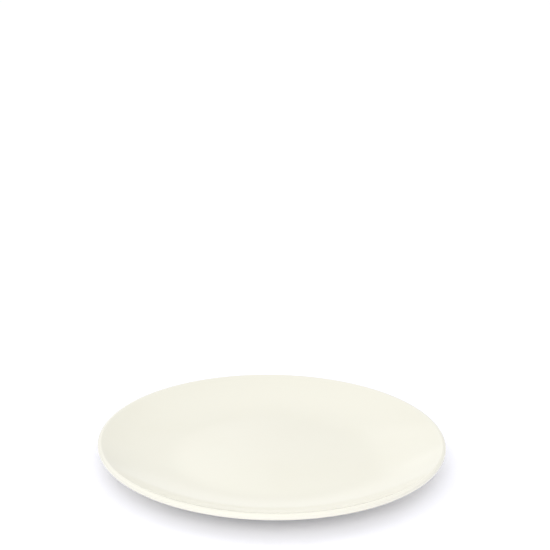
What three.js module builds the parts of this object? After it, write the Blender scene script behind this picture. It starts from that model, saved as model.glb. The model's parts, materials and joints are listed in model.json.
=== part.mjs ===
// A plain round pizza plate in glazed stoneware: a wide flat well, a wall in one sweep up to a full round
// lip, and a turned foot ring.
// Millimetres, +Z up, standing on z = 0 with the plate's axis on Z.
import * as THREE from 'three';

// Overall sizes of the finished plate
const PLATE_DIAMETER = 320;
const PLATE_HEIGHT = 25;
const LIP_THICKNESS = 5.6;
const BASE_THICKNESS = 5.3;

// Eating face: the well is flat out to its diameter, where one sweep starts. The sweep holds the level for
// the ease, and ends along a line that would meet the level one wall run in from the outer edge.
const WELL_DIAMETER = 144;
const WELL_EASE = 17;
const WALL_RUN = 37.5;

// Foot ring: its diameter is that of the outer edge of the flat band that touches the table
const FOOT_DIAMETER = 196;
const FOOT_BAND_WIDTH = 4;
const FOOT_HEIGHT = 2.5;
const FOOT_DRAFT = THREE.MathUtils.degToRad(14);
const FOOT_EDGE_RADIUS = 0.7;
const FOOT_FILLET = 2.4;

// Back: its curve leaves the foot level, and turns up to the lip about a corner this far out
const BACK_SHOULDER = 20;

// Glaze: depth from its surface to the clay, the hairline that parts the two solids, and the height above
// the table where the glaze stops on both sides of the foot
const GLAZE_THICKNESS = 0.4;
const BOND_GAP = 0.02;
const GLAZE_LINE = 1.2;

// Facets round the axis and along each stretch of the outline
const TURN_STEPS = 72;
const SWEEP_STEPS = 8;
const LIP_STEPS = 3;
const BACK_STEPS = 5;
const FILLET_STEPS = 3;
const EDGE_STEPS = 2;

const RIGHT_ANGLE = Math.PI / 2;

// Levels and centres of the clay, which lies one glaze thickness inside the finished surface
const clayFloor = FOOT_HEIGHT + BASE_THICKNESS - GLAZE_THICKNESS;
const clayUnderside = FOOT_HEIGHT + GLAZE_THICKNESS;
const lipCentre = new THREE.Vector2(
  PLATE_DIAMETER / 2 - LIP_THICKNESS / 2,
  PLATE_HEIGHT - LIP_THICKNESS / 2,
);
const clayLipRadius = LIP_THICKNESS / 2 - GLAZE_THICKNESS;

// Angle of the line from a corner that just touches the lip: side 1 passes over it, side -1 under it
function angleToLip(corner, side) {
  const reach = lipCentre.clone().sub(corner);
  return reach.angle() + side * Math.asin(clayLipRadius / reach.length());
}

function arc(centre, radius, fromAngle, toAngle) {
  return new THREE.EllipseCurve(centre.x, centre.y, radius, radius, fromAngle, toAngle, toAngle < fromAngle);
}

function line(from, to) {
  return new THREE.LineCurve(from, to);
}

// One side of the foot ring: outward is 1 on the outside of the ring and -1 on the inside
function footSide(bandEdge, outward) {
  const edgeTop = FOOT_EDGE_RADIUS * (1 - Math.sin(FOOT_DRAFT));
  const radiusAt = (height) => bandEdge
    + outward * (FOOT_EDGE_RADIUS * Math.cos(FOOT_DRAFT) + (height - edgeTop) * Math.tan(FOOT_DRAFT));
  const pointAt = (height) => new THREE.Vector2(radiusAt(height), height);
  const edgeCentre = new THREE.Vector2(bandEdge, FOOT_EDGE_RADIUS);

  // The fillet may not reach down past the glaze line
  const room = (clayUnderside - GLAZE_LINE) / (1 - Math.sin(FOOT_DRAFT));
  const fillet = Math.min(FOOT_FILLET, 0.95 * room);
  const filletFoot = pointAt(clayUnderside - fillet * (1 - Math.sin(FOOT_DRAFT)));
  const filletCentre = new THREE.Vector2(
    filletFoot.x + outward * fillet * Math.cos(FOOT_DRAFT),
    clayUnderside - fillet,
  );
  return {
    bandEdge: new THREE.Vector2(bandEdge, 0),
    edgeCentre,
    edgeTop: pointAt(edgeTop),
    glazeLine: pointAt(GLAZE_LINE),
    fillet,
    filletFoot,
    filletCentre,
    filletHead: new THREE.Vector2(filletCentre.x, clayUnderside),
  };
}

const outerSide = footSide(FOOT_DIAMETER / 2, 1);
const innerSide = footSide(FOOT_DIAMETER / 2 - FOOT_BAND_WIDTH, -1);

// Eating face: a level floor, then a sweep whose curve begins without a kink and runs onto the lip
const floorEdge = new THREE.Vector2(WELL_DIAMETER / 2, clayFloor);
const easeEnd = new THREE.Vector2(floorEdge.x + WELL_EASE, clayFloor);
const knee = new THREE.Vector2(PLATE_DIAMETER / 2 - WALL_RUN, clayFloor);
const lipInside = arc(lipCentre, clayLipRadius, RIGHT_ANGLE + angleToLip(knee, 1), RIGHT_ANGLE);
const sweep = new THREE.CubicBezierCurve(floorEdge, easeEnd, knee, lipInside.getPoint(0));

// Back: one curve that leaves the lip along the line to its corner and reaches the foot's fillet level
const shoulder = new THREE.Vector2(outerSide.filletHead.x + BACK_SHOULDER, clayUnderside);
const lipUnderside = arc(lipCentre, clayLipRadius, 0, -RIGHT_ANGLE + angleToLip(shoulder, -1));
const backCurve = new THREE.QuadraticBezierCurve(lipUnderside.getPoint(1), shoulder, outerSide.filletHead);

// The outline of the clay in the plane of the axis, as stretches of curve with the facets that each is given
const faceStretches = [
  [line(new THREE.Vector2(0, clayFloor), floorEdge), 1],
  [sweep, SWEEP_STEPS],
  [lipInside, 1],
  [arc(lipCentre, clayLipRadius, RIGHT_ANGLE, 0), LIP_STEPS],
  [lipUnderside, LIP_STEPS],
  [backCurve, BACK_STEPS],
  [arc(outerSide.filletCentre, outerSide.fillet, RIGHT_ANGLE, Math.PI - FOOT_DRAFT), FILLET_STEPS],
  [line(outerSide.filletFoot, outerSide.glazeLine), 1],
];

const bareFootStretches = [
  [line(outerSide.glazeLine, outerSide.edgeTop), 1],
  [arc(outerSide.edgeCentre, FOOT_EDGE_RADIUS, -FOOT_DRAFT, -RIGHT_ANGLE), EDGE_STEPS],
  [line(outerSide.bandEdge, innerSide.bandEdge), 1],
  [arc(innerSide.edgeCentre, FOOT_EDGE_RADIUS, -RIGHT_ANGLE, -Math.PI + FOOT_DRAFT), EDGE_STEPS],
  [line(innerSide.edgeTop, innerSide.glazeLine), 1],
];

const recessStretches = [
  [line(innerSide.glazeLine, innerSide.filletFoot), 1],
  [arc(innerSide.filletCentre, innerSide.fillet, FOOT_DRAFT, RIGHT_ANGLE), FILLET_STEPS],
  [line(innerSide.filletHead, new THREE.Vector2(0, clayUnderside)), 1],
];

// Points along the stretches, moved out of the clay by the thickness of what lies on it
function outline(stretches, cover) {
  const points = [];
  for (const [curve, steps] of stretches) {
    for (let step = points.length ? 1 : 0; step <= steps; step += 1) {
      const tangent = curve.getTangent(step / steps);
      const point = curve.getPoint(step / steps);
      point.x -= cover * tangent.y;
      point.y += cover * tangent.x;
      points.push(point);
    }
  }
  return points;
}

// The outline runs from the top of the axis round to its foot, and is turned from the foot up,
// so that the faces point out
function turned(name, points, material) {
  const geometry = new THREE.LatheGeometry(points.toReversed(), TURN_STEPS);
  geometry.rotateX(RIGHT_ANGLE);
  const mesh = new THREE.Mesh(geometry, material);
  mesh.name = name;
  return mesh;
}

const clayMaterial = new THREE.MeshStandardMaterial({
  name: 'bare_clay', color: 0xe6ddc8, roughness: 0.75,
});
const glazeMaterial = new THREE.MeshStandardMaterial({
  name: 'ivory_glaze', color: 0xf4f1e2, roughness: 0.12,
});

const clayBody = turned('clay_body', outline([
  ...faceStretches,
  ...bareFootStretches,
  ...recessStretches,
], 0), clayMaterial);

const faceGlaze = turned('face_glaze', [
  ...outline(faceStretches, GLAZE_THICKNESS),
  ...outline(faceStretches, BOND_GAP).toReversed(),
], glazeMaterial);

const recessGlaze = turned('recess_glaze', [
  ...outline(recessStretches, BOND_GAP).toReversed(),
  ...outline(recessStretches, GLAZE_THICKNESS),
], glazeMaterial);

const plate = new THREE.Group();
plate.name = 'pizza_plate';
plate.add(clayBody, faceGlaze, recessGlaze);

export default plate;
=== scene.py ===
"""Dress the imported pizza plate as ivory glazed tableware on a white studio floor.

The plate is a fired clay body with a bare ground foot, under two skins of glaze: one over the face, lip and
back, one in the recess inside the foot ring. Each piece is an outline in the plane of the plate's axis,
turned round that axis. Lengths are metres, as in the frame.
"""

import json
import math

import bpy
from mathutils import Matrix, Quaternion, Vector


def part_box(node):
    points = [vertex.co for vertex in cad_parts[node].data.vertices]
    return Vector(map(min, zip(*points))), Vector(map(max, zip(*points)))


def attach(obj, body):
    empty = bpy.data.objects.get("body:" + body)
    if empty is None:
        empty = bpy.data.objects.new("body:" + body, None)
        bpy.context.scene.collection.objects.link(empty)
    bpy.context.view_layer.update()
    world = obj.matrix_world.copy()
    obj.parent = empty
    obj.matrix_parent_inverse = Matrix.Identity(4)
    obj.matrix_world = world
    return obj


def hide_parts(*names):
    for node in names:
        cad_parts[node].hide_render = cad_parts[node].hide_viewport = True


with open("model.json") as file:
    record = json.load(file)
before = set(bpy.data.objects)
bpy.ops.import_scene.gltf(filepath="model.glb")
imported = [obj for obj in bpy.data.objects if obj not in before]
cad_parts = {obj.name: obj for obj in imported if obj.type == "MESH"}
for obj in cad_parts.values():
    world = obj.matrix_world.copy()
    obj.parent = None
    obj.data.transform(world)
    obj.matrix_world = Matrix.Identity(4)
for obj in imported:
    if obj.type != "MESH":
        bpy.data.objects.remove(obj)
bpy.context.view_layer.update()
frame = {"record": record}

bl_info = {
    "name": "Pizza plate",
    "version": (1, 0, 0),
    "blender": (4, 5, 0),
    "location": "View3D > Sidebar > Plate",
    "description": "Turns a glazed pizza plate and sets it in a white studio",
    "category": "Add Mesh",
}

MM = 0.001

# The photograph's frame, and where the middle of the plate lies in it
FRAME_PIXELS = 550
PLATE_MIDDLE_PIXEL = Vector((274.0, 450.3))

# Width of the camera's sensor in millimetres, and half the width of the floor, which reaches past every view
SENSOR_WIDTH = 36.0
FLOOR_HALF_WIDTH = 12.0

# Sizes that the frame already states
glazed_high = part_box("face_glaze")[1]
PLATE_RADIUS = glazed_high.x
PLATE_HEIGHT = glazed_high.z
WELL_FLOOR = next(mount["pos_m"][2] for mount in frame["record"]["mounts"] if mount["name"] == "well_floor")

# What lies lower than this is on the underside of the plate, and not on its eating face
UNDERSIDE_TOP = WELL_FLOOR - MM

# Distance from the lip and the foot over which the ripple fades, and how far the pooled glaze reaches
RIPPLE_FADE = 20 * MM
POOL_REACH = 6 * MM

# Share of its room that the foot's fillet may take, so that it stops short of the glaze line
FILLET_SHARE = 0.95

# Points that lie closer than this are one point, so that a turned piece is closed
WELD_DISTANCE = 1e-6

# Steps along each stretch of the outline
FLAT_STEPS = 12
SWEEP_STEPS = 40
LIP_INSIDE_STEPS = 5
LIP_TOP_STEPS = 10
LIP_UNDER_STEPS = 8
BACK_STEPS = 20
FILLET_STEPS = 8
GLAZED_SIDE_STEPS = 3
BARE_SIDE_STEPS = 2
FOOT_EDGE_STEPS = 6
FOOT_BAND_STEPS = 4
BEAD_STEPS = 6


def length(name, millimetres, description):
    """A length that the sidebar shows in the scene's own unit."""
    return bpy.props.FloatProperty(
        name=name,
        description=description,
        default=millimetres * MM,
        unit="LENGTH",
        subtype="DISTANCE",
        precision=5,
    )


def angle(name, degrees, description):
    """An angle, stated in degrees and held in radians."""
    return bpy.props.FloatProperty(
        name=name, description=description, default=math.radians(degrees), unit="ROTATION", subtype="ANGLE"
    )


def strength(name, value, description):
    """How strong a light is."""
    return bpy.props.FloatProperty(name=name, description=description, default=value, min=0)


def linear(code):
    """Linear RGBA of an sRGB hex code."""
    channels = [int(code[place : place + 2], 16) / 255 for place in (1, 3, 5)]
    return [c / 12.92 if c <= 0.04045 else ((c + 0.055) / 1.055) ** 2.4 for c in channels] + [1.0]


def colour(name, code, description):
    """A colour whose default is an sRGB hex code."""
    return bpy.props.FloatVectorProperty(
        name=name, description=description, default=linear(code), size=4, subtype="COLOR", min=0, max=1
    )


class PlateSizes(bpy.types.PropertyGroup):
    """Sizes of the finished plate."""

    lip_thickness: length("Lip thickness", 5.6, "Thickness of the full round lip")
    well_diameter: length("Well diameter", 144, "Diameter of the flat floor, where the sweep starts")
    well_ease: length("Well ease", 17, "How far the sweep holds the level of the floor")
    wall_run: length("Wall run", 37.5, "From the outer edge in to where the wall's line would meet the floor")
    foot_diameter: length("Foot diameter", 196, "Outer diameter of the band that touches the table")
    foot_band_width: length("Foot band width", 4, "Width of the band that touches the table")
    foot_height: length("Foot height", 2.5, "From the table up to the glazed underside")
    foot_draft: angle("Foot draft", 14, "Lean of the foot ring's two sides")
    foot_edge_radius: length("Foot edge radius", 0.7, "Rounding of the two edges of the foot band")
    foot_fillet: length("Foot fillet", 2.4, "Radius where the foot ring runs into the underside")
    back_shoulder: length("Back shoulder", 20, "From the foot ring out to the corner of the back's curve")
    glaze_thickness: length("Glaze thickness", 0.4, "From the surface of the glaze to the clay")
    bond_gap: length("Bond gap", 0.02, "Hairline that parts the glaze from the clay")
    glaze_line: length("Glaze line", 1.2, "Height where the glaze stops on the foot ring")
    facets_round: bpy.props.IntProperty(
        name="Facets round", description="Faces round the plate's axis", default=360, min=24
    )


class PlateFinish(bpy.types.PropertyGroup):
    """Colours and surface of the glaze and of the bare clay."""

    glaze: colour("Glaze", "#E7E5D8", "Ivory of the glaze at its usual depth")
    glaze_thin: colour("Thin glaze", "#E7E5D9", "Where the glaze has drawn thin over the lip")
    glaze_pooled: colour("Pooled glaze", "#DDD9C6", "Where the glaze has run together and lies deep")
    clay: colour("Bare clay", "#DDD3BE", "Fired clay of the ground foot")
    clay_dark: colour("Clay grit", "#C4B79D", "Grit and grinding marks in the bare clay")
    ripple_height: length("Ripple height", 0.03, "How far the glaze rises and falls in slow waves")
    ripple_size: length("Ripple size", 48, "Distance across one wave of the glaze")
    ripple_seed: bpy.props.IntProperty(
        name="Ripple seed", description="Picks the pattern of the waves", default=7
    )


class StudioSettings(bpy.types.PropertyGroup):
    """Camera and light of the photograph's low view."""

    camera_distance: length("Camera distance", 1600, "From the camera to the middle of the plate")
    camera_elevation: angle("Camera elevation", 24.14, "Height of the camera above the plate, as an angle")
    camera_roll: angle("Camera roll", 0.74, "Tilt of the camera about its line of sight")
    camera_lens: bpy.props.FloatProperty(
        name="Lens", description="Focal length", default=112.8, unit="CAMERA", subtype="DISTANCE_CAMERA"
    )
    room_light: strength("Room light", 0.71, "White light from all round, at the height of the table")
    room_lift: strength("Room lift", 0.27, "How much more light the room gives from straight above")
    room_shade: strength("Room shade", 0.17, "How much less light comes from the right than from the left")
    floor: colour("Floor", "#F7F7FD", "Matt white of the floor, a little cool")
    floor_glow: strength("Floor glow", 0.065, "Light that shines up through the white floor")
    glow: colour("Glow", "#ECEFFF", "Cool white of the light that shines up through the floor")
    key_light: strength("Key light", 0.84, "Soft box in front: the light that falls straight on the plate")
    key_elevation: angle("Key elevation", 27, "Height of the key light above the table, as an angle")
    key_azimuth: angle("Key azimuth", 267, "Direction of the key light, anticlockwise from the right")
    key_distance: length("Key distance", 1300, "From the soft box to the middle of the plate")
    key_size: length("Key size", 900, "Width of the round soft box")
    top_light: strength("Top light", 0.32, "Brightness of the soft patch overhead")
    top_elevation: angle("Top elevation", 74, "Height of the top patch above the table, as an angle")
    top_azimuth: angle("Top azimuth", 92, "Direction of the top patch, anticlockwise from the right")
    top_spread: angle("Top spread", 90, "Width of the top patch, where it has faded out")
    top_fade: angle("Top fade", 40, "How wide the soft edge of the top patch is")
    side_light: strength("Side light", 0.56, "Brightness of the soft patch at the back left")
    side_elevation: angle("Side elevation", 37, "Height of the side patch above the table, as an angle")
    side_azimuth: angle("Side azimuth", 152, "Direction of the side patch, anticlockwise from the right")
    side_spread: angle("Side spread", 54, "Width of the side patch, where it has faded out")
    side_fade: angle("Side fade", 20, "How wide the soft edge of the side patch is")
    rim_light: strength("Rim light", 0.42, "Brightness of the patch at the back right, mirrored in the lip")
    rim_elevation: angle("Rim elevation", 38, "Height of the rim patch above the table, as an angle")
    rim_azimuth: angle("Rim azimuth", 34, "Direction of the rim patch, anticlockwise from the right")
    rim_spread: angle("Rim spread", 50, "Width of the rim patch, where it has faded out")
    rim_fade: angle("Rim fade", 20, "How wide the soft edge of the rim patch is")
    back_light: strength("Back light", 0.28, "Brightness of the soft patch behind, mirrored in the well")
    back_elevation: angle("Back elevation", 24, "Height of the back patch above the table, as an angle")
    back_azimuth: angle("Back azimuth", 103, "Direction of the back patch, anticlockwise from the right")
    back_spread: angle("Back spread", 26, "Width of the back patch, where it has faded out")
    back_fade: angle("Back fade", 4, "How wide the soft edge of the back patch is")
    drop_light: strength("Drop light", 0.38, "Brightness of the patch low behind, mirrored in the near wall")
    drop_elevation: angle("Drop elevation", 6, "Height of the backdrop patch above the table, as an angle")
    drop_azimuth: angle("Drop azimuth", 96, "Direction of the backdrop patch, anticlockwise from the right")
    drop_spread: angle("Drop spread", 30, "Width of the backdrop patch, where it has faded out")
    drop_fade: angle("Drop fade", 11, "How wide the soft edge of the backdrop patch is")


def add(tree, kind, inputs=None, **settings):
    """Add a node, make its settings, and feed its inputs from values or from the outputs of other nodes."""
    node = tree.nodes.new(kind)
    for name, value in settings.items():
        setattr(node, name, value)
    for socket, value in (inputs or {}).items():
        if isinstance(value, bpy.types.NodeSocket):
            tree.links.new(value, node.inputs[socket])
        else:
            node.inputs[socket].default_value = value
    return node


# Outlines in the plane of the axis. A stretch is a list of spots. Each spot is a place (radius, height) and
# the way out of the clay there.


def straight(start, end, steps):
    """Spots along a straight line, with the clay on its right."""
    way = (end - start).normalized()
    out = Vector((-way.y, way.x))
    return [(start.lerp(end, step / steps), out) for step in range(steps + 1)]


def rounded(centre, radius, first, last, steps):
    """Spots along an arc: clockwise it bulges out of the clay, anticlockwise it is hollowed into it."""
    bulge = 1 if last < first else -1
    spots = []
    for step in range(steps + 1):
        turn = first + (last - first) * step / steps
        spoke = Vector((math.cos(turn), math.sin(turn)))
        spots.append((centre + radius * spoke, bulge * spoke))
    return spots


def eased(corners, steps):
    """Spots along the Bezier curve of its corners, which leaves the first one towards the next."""
    spots = []
    for step in range(steps + 1):
        share = step / steps
        nearer = corners
        while len(nearer) > 2:
            nearer = [first.lerp(second, share) for first, second in zip(nearer, nearer[1:])]
        way = (nearer[1] - nearer[0]).normalized()
        spots.append((nearer[0].lerp(nearer[1], share), Vector((-way.y, way.x))))
    return spots


def joined(stretches):
    """One run of spots from stretches that each begin where the last one ends."""
    return stretches[0] + [spot for stretch in stretches[1:] for spot in stretch[1:]]


def raised(spots, cover):
    """Places that lie a given cover above the clay."""
    return [place + cover * out for place, out in spots]


def bead(spot, low, high):
    """Round end of a skin that stops at a spot, from its outer face back to its inner one."""
    place, out = spot
    centre = place + (low + high) / 2 * out
    onward = Vector((out.y, -out.x))
    radius = (high - low) / 2
    turns = [math.pi * step / BEAD_STEPS for step in range(1, BEAD_STEPS)]
    return [centre + radius * (math.cos(turn) * out + math.sin(turn) * onward) for turn in turns]


class FootSide:
    """One side of the foot ring: outward is 1 on the outside of the ring and -1 on the inside."""

    def __init__(self, sizes, band_edge, outward):
        draft, edge = sizes.foot_draft, sizes.foot_edge_radius
        self.underside = sizes.foot_height + sizes.glaze_thickness
        self.edge_height = edge * (1 - math.sin(draft))
        self.base = band_edge + outward * edge * math.cos(draft)
        self.slope = outward * math.tan(draft)
        self.band_edge = Vector((band_edge, 0))
        self.edge_centre = Vector((band_edge, edge))
        room = (self.underside - sizes.glaze_line) / (1 - math.sin(draft))
        self.fillet = min(sizes.foot_fillet, FILLET_SHARE * room)
        self.fillet_foot = self.at(self.underside - self.fillet * (1 - math.sin(draft)))
        across = self.fillet_foot.x + outward * self.fillet * math.cos(draft)
        self.fillet_centre = Vector((across, self.underside - self.fillet))
        self.fillet_head = Vector((across, self.underside))
        self.edge_top = self.at(self.edge_height)
        self.glaze_line = self.at(sizes.glaze_line)

    def at(self, height):
        """Place on this side at a given height above the table."""
        return Vector((self.base + self.slope * (height - self.edge_height), height))


class ClayOutline:
    """The clay's outline, one glaze thickness inside the finished plate, in three runs of spots."""

    def __init__(self, sizes):
        right_angle = math.pi / 2
        glaze, draft, edge = sizes.glaze_thickness, sizes.foot_draft, sizes.foot_edge_radius
        half_lip = sizes.lip_thickness / 2
        self.lip_centre = Vector((PLATE_RADIUS - half_lip, PLATE_HEIGHT - half_lip))
        self.lip_radius = half_lip - glaze
        outer = FootSide(sizes, sizes.foot_diameter / 2, 1)
        inner = FootSide(sizes, sizes.foot_diameter / 2 - sizes.foot_band_width, -1)

        # The sweep begins without a kink at the flat of the well and runs onto the lip
        floor_edge = Vector((sizes.well_diameter / 2, WELL_FLOOR - glaze))
        ease_end = floor_edge + Vector((sizes.well_ease, 0))
        knee = Vector((PLATE_RADIUS - sizes.wall_run, floor_edge.y))
        over_lip = self.lip_arc(right_angle + self.angle_to_lip(knee, 1), right_angle, LIP_INSIDE_STEPS)

        # The back leaves the lip along the line to its corner and reaches the foot's fillet level
        shoulder = outer.fillet_head + Vector((sizes.back_shoulder, 0))
        under_lip = self.lip_arc(0, self.angle_to_lip(shoulder, -1) - right_angle, LIP_UNDER_STEPS)

        self.face = joined([
            straight(Vector((0, floor_edge.y)), floor_edge, FLAT_STEPS),
            eased([floor_edge, ease_end, knee, over_lip[0][0]], SWEEP_STEPS),
            over_lip,
            self.lip_arc(right_angle, 0, LIP_TOP_STEPS),
            under_lip,
            eased([under_lip[-1][0], shoulder, outer.fillet_head], BACK_STEPS),
            rounded(outer.fillet_centre, outer.fillet, right_angle, math.pi - draft, FILLET_STEPS),
            straight(outer.fillet_foot, outer.glaze_line, GLAZED_SIDE_STEPS),
        ])
        self.bare_foot = joined([
            straight(outer.glaze_line, outer.edge_top, BARE_SIDE_STEPS),
            rounded(outer.edge_centre, edge, -draft, -right_angle, FOOT_EDGE_STEPS),
            straight(outer.band_edge, inner.band_edge, FOOT_BAND_STEPS),
            rounded(inner.edge_centre, edge, -right_angle, draft - math.pi, FOOT_EDGE_STEPS),
            straight(inner.edge_top, inner.glaze_line, BARE_SIDE_STEPS),
        ])
        self.recess = joined([
            straight(inner.glaze_line, inner.fillet_foot, GLAZED_SIDE_STEPS),
            rounded(inner.fillet_centre, inner.fillet, draft, right_angle, FILLET_STEPS),
            straight(inner.fillet_head, Vector((0, inner.underside)), FLAT_STEPS),
        ])

    def lip_arc(self, first, last, steps):
        """Spots along part of the round of the lip."""
        return rounded(self.lip_centre, self.lip_radius, first, last, steps)

    def angle_to_lip(self, corner, side):
        """Angle of the line from a corner that just touches the lip, over it for side 1, under it for -1."""
        reach = self.lip_centre - corner
        return math.atan2(reach.y, reach.x) + side * math.asin(self.lip_radius / reach.length)


def wheel_tree():
    """Geometry nodes that turn an outline round the plate's axis and let its free surface ripple."""
    tree = bpy.data.node_groups.new("turned_on_the_wheel", "GeometryNodeTree")
    face = tree.interface
    face.new_socket("Outline", in_out="INPUT", socket_type="NodeSocketGeometry")
    face.new_socket("Facets round", in_out="INPUT", socket_type="NodeSocketInt")
    face.new_socket("Guide radius", in_out="INPUT", socket_type="NodeSocketFloat")
    face.new_socket("Ripple height", in_out="INPUT", socket_type="NodeSocketFloat")
    face.new_socket("Ripple size", in_out="INPUT", socket_type="NodeSocketFloat")
    face.new_socket("Seed", in_out="INPUT", socket_type="NodeSocketInt")
    face.new_socket("Finish", in_out="INPUT", socket_type="NodeSocketMaterial")
    face.new_socket("Piece", in_out="OUTPUT", socket_type="NodeSocketGeometry")
    given = add(tree, "NodeGroupInput").outputs

    # The outline stands in the XZ plane; a profile lies in XY and is measured from the guide circle
    back_to_guide = add(tree, "ShaderNodeMath", {0: given["Guide radius"], 1: -1.0}, operation="MULTIPLY")
    shift = add(tree, "ShaderNodeCombineXYZ", {"X": back_to_guide.outputs[0]})
    laid = add(
        tree,
        "GeometryNodeTransform",
        {"Geometry": given["Outline"], "Translation": shift.outputs[0], "Rotation": (math.pi / 2, 0, 0)},
    )
    profile = add(tree, "GeometryNodeMeshToCurve", {"Mesh": laid.outputs[0]})
    guide = add(
        tree,
        "GeometryNodeCurvePrimitiveCircle",
        {"Resolution": given["Facets round"], "Radius": given["Guide radius"]},
    )
    upright = add(tree, "GeometryNodeSetCurveNormal", {"Curve": guide.outputs["Curve"]}, mode="Z_UP")
    turned = add(
        tree,
        "GeometryNodeCurveToMesh",
        {"Curve": upright.outputs["Curve"], "Profile Curve": profile.outputs["Curve"]},
    )
    closed = add(
        tree, "GeometryNodeMergeByDistance", {"Geometry": turned.outputs["Mesh"], "Distance": WELD_DISTANCE}
    )

    # Slow waves of the glaze, along the surface's own normal
    frequency = add(tree, "ShaderNodeMath", {0: 1.0, 1: given["Ripple size"]}, operation="DIVIDE")
    waves = add(
        tree,
        "ShaderNodeTexNoise",
        {"W": given["Seed"], "Scale": frequency.outputs[0], "Detail": 1.0},
        noise_dimensions="4D",
    )
    swing = add(tree, "ShaderNodeMath", {0: waves.outputs[0], 1: -0.5}, operation="ADD")
    free = add(tree, "GeometryNodeInputNamedAttribute", {"Name": "ripple"}, data_type="FLOAT")
    rise = add(tree, "ShaderNodeMath", {0: swing.outputs[0], 1: free.outputs[0]}, operation="MULTIPLY")
    lift = add(tree, "ShaderNodeMath", {0: rise.outputs[0], 1: given["Ripple height"]}, operation="MULTIPLY")
    normal = add(tree, "GeometryNodeInputNormal")
    offset = add(
        tree, "ShaderNodeVectorMath", {0: normal.outputs[0], "Scale": lift.outputs[0]}, operation="SCALE"
    )
    rippled = add(
        tree, "GeometryNodeSetPosition", {"Geometry": closed.outputs[0], "Offset": offset.outputs[0]}
    )
    smooth = add(tree, "GeometryNodeSetShadeSmooth", {"Geometry": rippled.outputs[0]})
    whole = add(tree, "GeometryNodeRealizeInstances", {"Geometry": smooth.outputs[0]})
    finished = add(
        tree, "GeometryNodeSetMaterial", {"Geometry": whole.outputs[0], "Material": given["Finish"]}
    )
    add(tree, "NodeGroupOutput", {"Piece": finished.outputs[0]})
    return tree


def turn_piece(name, outline, attributes, finish, settings):
    """Turn an outline round the axis and return the piece as a plain mesh object."""
    mesh = bpy.data.meshes.new(name + "_outline")
    places = [(place.x, 0, place.y) for place in outline]
    mesh.from_pydata(places, [(spot, spot + 1) for spot in range(len(places) - 1)], [])
    for attribute, values in attributes.items():
        mesh.attributes.new(attribute, "FLOAT", "POINT").data.foreach_set("value", values)

    piece = bpy.data.objects.new(name, mesh)
    bpy.context.collection.objects.link(piece)
    tree = bpy.data.node_groups.get("turned_on_the_wheel") or wheel_tree()
    wheel = piece.modifiers.new("wheel", "NODES")
    wheel.node_group = tree
    for item in tree.interface.items_tree:
        if item.in_out == "INPUT" and item.name in settings:
            wheel[item.identifier] = settings[item.name]
        if item.in_out == "INPUT" and item.name == "Finish":
            wheel[item.identifier] = finish

    depsgraph = bpy.context.evaluated_depsgraph_get()
    turned = bpy.data.meshes.new_from_object(piece.evaluated_get(depsgraph))
    piece.modifiers.remove(wheel)
    piece.data = turned
    turned.name = name
    if not turned.polygons:
        raise RuntimeError(f"{name} has no faces")
    return piece


def ivory_glaze(finish):
    """Ivory gloss glaze: clear glass over a cream body, so soft colour with a wet, slightly uneven shine."""
    material = bpy.data.materials.new("ivory_gloss_glaze_fired_on_stoneware")
    material.use_nodes = True
    tree = material.node_tree
    tree.nodes.clear()
    place = add(tree, "ShaderNodeTexCoord").outputs["Object"]

    # Depth of the glaze: thin on the lip, pooled in the hollows, with slow drifts about 70 mm across
    depth = add(tree, "ShaderNodeAttribute", attribute_name="depth")
    drift = add(tree, "ShaderNodeTexNoise", {"Vector": place, "Scale": 1 / (70 * MM), "Detail": 3.0})
    drift_range = add(
        tree, "ShaderNodeMapRange", {"Value": drift.outputs[0], "To Min": -0.12, "To Max": 0.12}
    )
    total = add(tree, "ShaderNodeMath", {0: depth.outputs["Fac"], 1: drift_range.outputs[0]}, operation="ADD")
    tint = add(tree, "ShaderNodeValToRGB", {"Fac": total.outputs[0]})
    stops = tint.color_ramp.elements
    stops[0].position, stops[0].color = 0.0, finish.glaze_thin
    stops[1].position, stops[1].color = 1.0, finish.glaze_pooled
    stops.new(0.5).color = finish.glaze

    # The skin of the glass: its shine drifts over about 25 mm, and a fine orange peel about 4 mm across
    # breaks hard reflections
    shine = add(tree, "ShaderNodeTexNoise", {"Vector": place, "Scale": 1 / (25 * MM), "Detail": 2.0})
    roughness = add(
        tree, "ShaderNodeMapRange", {"Value": shine.outputs[0], "To Min": 0.08, "To Max": 0.13}
    )
    peel = add(tree, "ShaderNodeTexNoise", {"Vector": place, "Scale": 1 / (4 * MM), "Detail": 1.0})
    relief = add(
        tree, "ShaderNodeBump", {"Height": peel.outputs[0], "Strength": 0.25, "Distance": 0.02 * MM}
    )
    surface = add(
        tree,
        "ShaderNodeBsdfPrincipled",
        {
            "Base Color": tint.outputs["Color"],
            "Roughness": roughness.outputs[0],
            "IOR": 1.52,
            "Normal": relief.outputs[0],
        },
    )
    add(tree, "ShaderNodeOutputMaterial", {"Surface": surface.outputs[0]})
    return material


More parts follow.
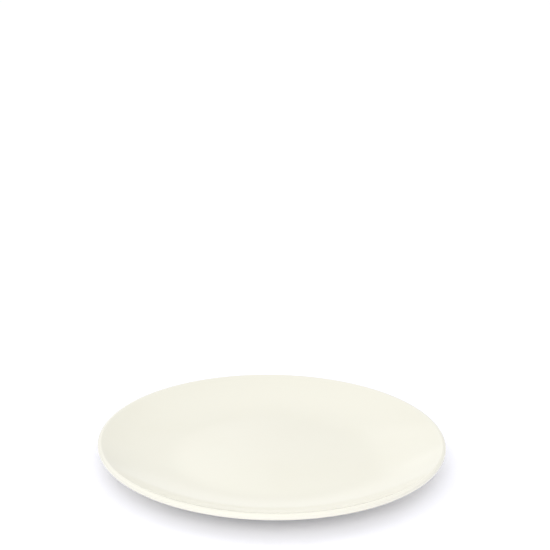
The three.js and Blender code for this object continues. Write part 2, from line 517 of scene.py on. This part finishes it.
def bare_clay(finish):
    """Bare fired clay, ground flat: dull and chalky, with fine grit and the rings that grinding leaves."""
    material = bpy.data.materials.new("bare_stoneware_ground_foot")
    material.use_nodes = True
    tree = material.node_tree
    tree.nodes.clear()
    place = add(tree, "ShaderNodeTexCoord").outputs["Object"]

    # Grit about 0.6 mm across, drawn a little coarser than it is so that it shows
    grit = add(tree, "ShaderNodeTexNoise", {"Vector": place, "Scale": 1 / (0.6 * MM), "Detail": 4.0})
    level = add(tree, "ShaderNodeVectorMath", {0: place, 1: (1, 1, 0)}, operation="MULTIPLY")
    radius = add(tree, "ShaderNodeVectorMath", {0: level.outputs[0]}, operation="LENGTH")
    rings = add(
        tree,
        "ShaderNodeTexNoise",
        {"W": radius.outputs["Value"], "Scale": 1 / (0.35 * MM), "Detail": 2.0},
        noise_dimensions="1D",
    )
    marks = add(tree, "ShaderNodeMath", {0: grit.outputs[0], 1: rings.outputs[0]}, operation="MULTIPLY")
    tint = add(tree, "ShaderNodeValToRGB", {"Fac": marks.outputs[0]})
    stops = tint.color_ramp.elements
    stops[0].position, stops[0].color = 0.12, finish.clay_dark
    stops[1].position, stops[1].color = 0.34, finish.clay
    relief = add(
        tree, "ShaderNodeBump", {"Height": marks.outputs[0], "Strength": 0.5, "Distance": 0.08 * MM}
    )
    surface = add(
        tree,
        "ShaderNodeBsdfPrincipled",
        {"Base Color": tint.outputs["Color"], "Roughness": 0.82, "IOR": 1.5, "Normal": relief.outputs[0]},
    )
    add(tree, "ShaderNodeOutputMaterial", {"Surface": surface.outputs[0]})
    return material


def dress(piece, node):
    """Tie a finished piece to the frame in place of the CAD node it stands for."""
    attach(piece, "root")
    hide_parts(node)


def wheel_settings(scene, ripple):
    """Inputs of the wheel for this plate."""
    sizes, finish = scene.plate_sizes, scene.plate_finish
    return {
        "Facets round": sizes.facets_round,
        "Guide radius": PLATE_RADIUS / 2,
        "Ripple height": finish.ripple_height if ripple else 0.0,
        "Ripple size": finish.ripple_size,
        "Seed": finish.ripple_seed,
    }


class PLATE_OT_turn_clay_body(bpy.types.Operator):
    """Turn the fired clay body, whose foot ring stays bare"""

    bl_idname = "plate.turn_clay_body"
    bl_label = "Turn clay body"

    def execute(self, context):
        scene = context.scene
        clay = ClayOutline(scene.plate_sizes)
        outline = raised(joined([clay.face, clay.bare_foot, clay.recess]), 0.0)
        attributes = {"ripple": [0.0] * len(outline)}
        material = bare_clay(scene.plate_finish)
        body = turn_piece("fired_clay_body", outline, attributes, material, wheel_settings(scene, False))
        dress(body, "clay_body")
        return {"FINISHED"}


class PLATE_OT_lay_glaze(bpy.types.Operator):
    """Lay the two skins of glaze, on the face and in the recess of the foot ring"""

    bl_idname = "plate.lay_glaze"
    bl_label = "Lay glaze"

    def execute(self, context):
        scene = context.scene
        sizes = scene.plate_sizes
        clay = ClayOutline(sizes)
        material = ivory_glaze(scene.plate_finish)
        gap, cover = sizes.bond_gap, sizes.glaze_thickness

        outer, inner = raised(clay.face, cover), raised(clay.face, gap)
        end = bead(clay.face[-1], gap, cover)
        outline = outer + end + inner[::-1]
        covered = [0.0] * (len(end) + len(inner))
        attributes = {
            "ripple": [self.freedom(place, sizes) for place in outer] + covered,
            "depth": [self.depth(place, sizes) for place in outer] + covered,
        }
        face = turn_piece("glaze_on_face", outline, attributes, material, wheel_settings(scene, True))
        dress(face, "face_glaze")

        outer, inner = raised(clay.recess, cover), raised(clay.recess, gap)
        place, out = clay.recess[0]
        end = bead((place, -out), -cover, -gap)
        outline = inner[::-1] + end[::-1] + outer
        covered = [0.0] * (len(end) + len(inner))
        attributes = {
            "ripple": covered + [self.freedom(place, sizes) for place in outer],
            "depth": covered + [self.depth(place, sizes) for place in outer],
        }
        recess = turn_piece("glaze_in_recess", outline, attributes, material, wheel_settings(scene, True))
        dress(recess, "recess_glaze")
        return {"FINISHED"}

    @staticmethod
    def freedom(place, sizes):
        """How freely the glaze ripples: not at all at the lip and the foot, fully some way from them."""
        from_edge = (PLATE_RADIUS - sizes.lip_thickness - place.x) / RIPPLE_FADE
        from_foot = abs(place.x - sizes.foot_diameter / 2) / RIPPLE_FADE if place.y < UNDERSIDE_TOP else 1.0
        return max(0.0, min(1.0, from_edge, from_foot))

    @staticmethod
    def depth(place, sizes):
        """Depth of the glaze as a share: 0 thin on the lip, 0.5 usual, 1 pooled in the foot ring's corner."""
        to_lip = (place.x - (PLATE_RADIUS - sizes.lip_thickness)) / (sizes.lip_thickness / 2)
        thinned = max(0.0, min(1.0, to_lip))
        from_corner = abs(place.x - sizes.foot_diameter / 2) - sizes.foot_band_width
        pooled = max(0.0, 1.0 - abs(from_corner) / POOL_REACH) if place.y < UNDERSIDE_TOP else 0.0
        return 0.5 - 0.5 * thinned + 0.5 * pooled


def towards(studio, part):
    """Unit vector from the plate to one of the studio's lights."""
    elevation, azimuth = getattr(studio, part + "_elevation"), getattr(studio, part + "_azimuth")
    level = math.cos(elevation)
    return Vector((level * math.cos(azimuth), level * math.sin(azimuth), math.sin(elevation)))


class PLATE_OT_set_stage(bpy.types.Operator):
    """Set the white floor, the soft light and the camera of the low view"""

    bl_idname = "plate.set_stage"
    bl_label = "Set stage"

    def execute(self, context):
        scene = context.scene
        studio = scene.plate_studio
        self.lay_floor(studio)
        self.light(scene, studio)
        self.place_camera(scene, studio)
        scene.view_settings.view_transform = "Standard"
        return {"FINISHED"}

    @staticmethod
    def lay_floor(studio):
        """A wide matt white sheet, lit a little from below, and clear from underneath to show the foot."""
        half = FLOOR_HALF_WIDTH
        corners = [(-half, -half, 0), (half, -half, 0), (half, half, 0), (-half, half, 0)]
        mesh = bpy.data.meshes.new("white_paper_floor")
        mesh.from_pydata(corners, [], [(0, 1, 2, 3)])
        floor = bpy.data.objects.new("white_paper_floor", mesh)
        bpy.context.collection.objects.link(floor)
        material = bpy.data.materials.new("matt_white_paper")
        material.use_nodes = True
        tree = material.node_tree
        tree.nodes.clear()
        matt = add(tree, "ShaderNodeBsdfDiffuse", {"Color": studio.floor})
        glow = add(tree, "ShaderNodeEmission", {"Color": studio.glow, "Strength": studio.floor_glow})
        paper = add(tree, "ShaderNodeAddShader", {0: matt.outputs[0], 1: glow.outputs[0]})
        clear = add(tree, "ShaderNodeBsdfTransparent")
        side = add(tree, "ShaderNodeNewGeometry")
        sheet = add(
            tree,
            "ShaderNodeMixShader",
            {0: side.outputs["Backfacing"], 1: paper.outputs[0], 2: clear.outputs[0]},
        )
        add(tree, "ShaderNodeOutputMaterial", {"Surface": sheet.outputs[0]})
        mesh.materials.append(material)

    @staticmethod
    def light(scene, studio):
        """A white room that is brighter in five soft patches, and one soft box."""
        world = bpy.data.worlds.new("white_room")
        scene.world = world
        world.use_nodes = True
        tree = world.node_tree
        tree.nodes.clear()
        way = add(tree, "ShaderNodeTexCoord").outputs["Generated"]

        # The room grows brighter upwards and to the left. Below the table it is as bright as at the table.
        above = add(tree, "ShaderNodeVectorMath", {0: way, 1: (-1, -1, 0)}, operation="MAXIMUM")
        lean = (-studio.room_shade / 2, 0, studio.room_lift)
        uneven = add(tree, "ShaderNodeVectorMath", {0: above.outputs[0], 1: lean}, operation="DOT_PRODUCT")
        room = add(
            tree, "ShaderNodeMath", {0: uneven.outputs["Value"], 1: studio.room_light}, operation="ADD"
        )
        brightness = room.outputs[0]

        # Each patch fades out over its soft edge
        for part in ("top", "side", "rim", "back", "drop"):
            middle = towards(studio, part)
            near = add(tree, "ShaderNodeVectorMath", {0: way, 1: middle}, operation="DOT_PRODUCT")
            edge = getattr(studio, part + "_spread") / 2
            patch = add(
                tree,
                "ShaderNodeMapRange",
                {
                    "Value": near.outputs["Value"],
                    "From Min": math.cos(edge),
                    "From Max": math.cos(edge - getattr(studio, part + "_fade")),
                    "To Max": getattr(studio, part + "_light"),
                },
                interpolation_type="SMOOTHSTEP",
            )
            total = add(tree, "ShaderNodeMath", {0: patch.outputs[0], 1: brightness}, operation="ADD")
            brightness = total.outputs[0]
        white = add(tree, "ShaderNodeBackground", {"Color": (1, 1, 1, 1), "Strength": brightness})
        add(tree, "ShaderNodeOutputWorld", {"Surface": white.outputs[0]})

        # The soft box lights the plate and the floor, but only the room and its patches show in the gloss
        box = bpy.data.lights.new("key_soft_box", "AREA")
        box.shape = "DISK"
        box.size = studio.key_size
        box.energy = studio.key_light * math.pi * studio.key_distance**2
        key = bpy.data.objects.new("key_soft_box", box)
        bpy.context.collection.objects.link(key)
        key.visible_glossy = False
        key.location = towards(studio, "key") * studio.key_distance
        key.rotation_euler = towards(studio, "key").to_track_quat("Z", "Y").to_euler()

    @staticmethod
    def place_camera(scene, studio):
        """The camera looks over the plate, so that the plate stands low in the frame as in the photograph."""
        lens = bpy.data.cameras.new("low_view")
        lens.lens = studio.camera_lens
        lens.sensor_width = SENSOR_WIDTH
        camera = bpy.data.objects.new("low_view", lens)
        bpy.context.collection.objects.link(camera)
        middle = Vector((0, 0, PLATE_HEIGHT / 2))
        back = Vector((0, -math.cos(studio.camera_elevation), math.sin(studio.camera_elevation)))
        camera.location = middle + studio.camera_distance * back

        focal_pixels = FRAME_PIXELS * lens.lens / lens.sensor_width
        right, down = (PLATE_MIDDLE_PIXEL - Vector((FRAME_PIXELS / 2, FRAME_PIXELS / 2))) / focal_pixels
        look = back.to_track_quat("Z", "Y")
        lift = Quaternion((1, 0, 0), math.atan(down))
        turn = Quaternion((0, 1, 0), math.atan(right))
        roll = Quaternion((0, 0, 1), studio.camera_roll)
        camera.rotation_mode = "QUATERNION"
        camera.rotation_quaternion = look @ turn @ lift @ roll
        scene.camera = camera


class PLATE_PT_sidebar(bpy.types.Panel):
    """The plate's sizes, finishes and studio, with the steps that make them"""

    bl_idname = "PLATE_PT_sidebar"
    bl_label = "Pizza plate"
    bl_space_type = "VIEW_3D"
    bl_region_type = "UI"
    bl_category = "Plate"

    def draw(self, context):
        for group in (context.scene.plate_sizes, context.scene.plate_finish, context.scene.plate_studio):
            box = self.layout.box()
            for name in group.__annotations__:
                box.prop(group, name)
        for operator in OPERATORS:
            self.layout.operator(operator.bl_idname)


GROUPS = {"plate_sizes": PlateSizes, "plate_finish": PlateFinish, "plate_studio": StudioSettings}
OPERATORS = (PLATE_OT_turn_clay_body, PLATE_OT_lay_glaze, PLATE_OT_set_stage)


def register():
    for name, group in GROUPS.items():
        bpy.utils.register_class(group)
        setattr(bpy.types.Scene, name, bpy.props.PointerProperty(type=group))
    for operator in OPERATORS:
        bpy.utils.register_class(operator)
    bpy.utils.register_class(PLATE_PT_sidebar)


def unregister():
    bpy.utils.unregister_class(PLATE_PT_sidebar)
    for operator in reversed(OPERATORS):
        bpy.utils.unregister_class(operator)
    for name, group in reversed(GROUPS.items()):
        delattr(bpy.types.Scene, name)
        bpy.utils.unregister_class(group)


def main():
    register()
    bpy.ops.plate.turn_clay_body()
    bpy.ops.plate.lay_glaze()
    bpy.ops.plate.set_stage()


if __name__ == "__main__":
    main()
